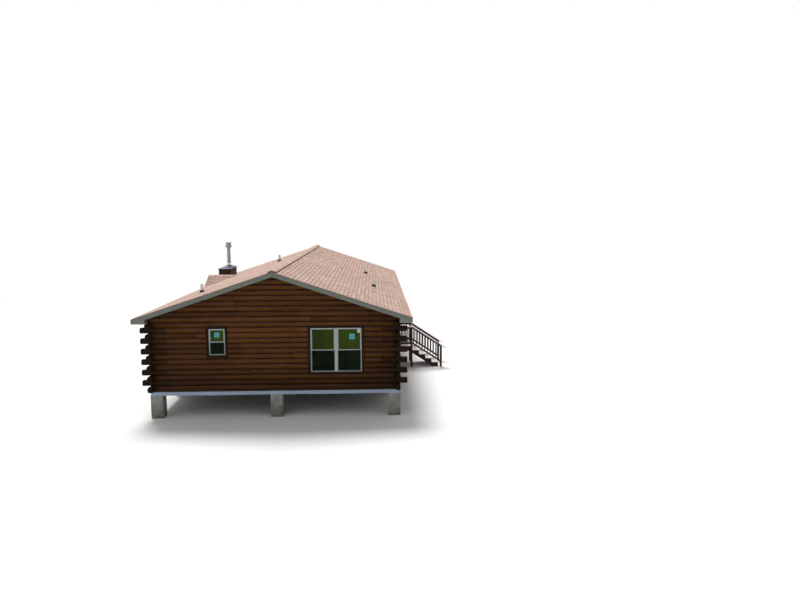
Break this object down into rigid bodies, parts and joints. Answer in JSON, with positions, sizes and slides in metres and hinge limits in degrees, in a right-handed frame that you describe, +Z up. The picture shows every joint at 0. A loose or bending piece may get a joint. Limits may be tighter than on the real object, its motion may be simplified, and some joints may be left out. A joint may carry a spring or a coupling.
{
  "type": "log cabin",
  "caption": "One-storey log cabin on block piers, with a low shingled gable roof, a chimney chase, and a landing with a stair at the side door.",
  "frame": {"origin": "on the ground, at the middle of the ground face of the middle pier, under the middle of the log walls' plan", "axes": "+X to the right of the front wall, +Y away from the front wall along the ridge, +Z up"},
  "size_m": [11.365, 17.676, 5.333],
  "materials": {
    "concrete_block": "bare grey concrete block, mortar joints",
    "rim_paint": "boards with pale weathered paint",
    "framing": "bare sawn softwood",
    "belly_black": "black woven sheet",
    "log_stain": "stained log, satin, grey-brown on top and orange-brown below",
    "ceiling_white": "flat white board",
    "shingle": "mineral shingles, pinkish tan",
    "trim_green": "grey-green painted boards and panels",
    "drip_cream": "cream coated metal",
    "galvanised": "galvanised sheet",
    "vent_white": "white plastic pipe",
    "flashing_black": "black rubber and painted metal",
    "frame_white": "white vinyl",
    "window_pane": "dark double glazing",
    "screen_mesh": "dark insect mesh in a white frame",
    "trim_brown": "dark brown stained boards",
    "door_paint": "white painted steel door",
    "stair_brown": "dark brown stained boards, paler and weathered on top"
  },
  "bodies": {
    "root": {"block_piers": "concrete_block", "floor_rim": "rim_paint", "floor_joists": "framing", "floor_deck": "framing", "belly_wrap": "belly_black", "front_wall": "log_stain", "back_wall": "log_stain", "left_wall": "log_stain", "right_wall": "log_stain", "front_gable": "log_stain", "back_gable": "log_stain", "ceiling": "ceiling_white", "roof_rafters": "framing", "roof_left": "shingle", "roof_right": "shingle", "ridge_vent": "shingle", "rake_boards": "trim_green", "fascias": "trim_green", "soffits": "trim_green", "eave_returns": "trim_green", "drip_edge": "drip_cream", "cross_gable_roof": "shingle", "cross_gable_face": "log_stain", "cross_gable_rake_boards": "trim_green", "chimney_chase": "log_stain", "chase_cover": "galvanised", "flue_pipe": "galvanised", "flue_cap": "galvanised", "vent_pipes": "vent_white", "vent_flashings": "flashing_black", "front_window_frames": "frame_white", "back_window_frames": "frame_white", "left_window_frames": "frame_white", "right_window_frames": "frame_white", "window_glass": "window_pane", "opening_trim": "trim_brown", "door_leaf": "door_paint", "door_frame": "door_paint", "stair_posts": "stair_brown", "landing_frame": "stair_brown", "landing_boards": "stair_brown", "stair_stringers": "stair_brown", "stair_treads": "stair_brown", "stair_railings": "stair_brown"}
  },
  "joints": []
}
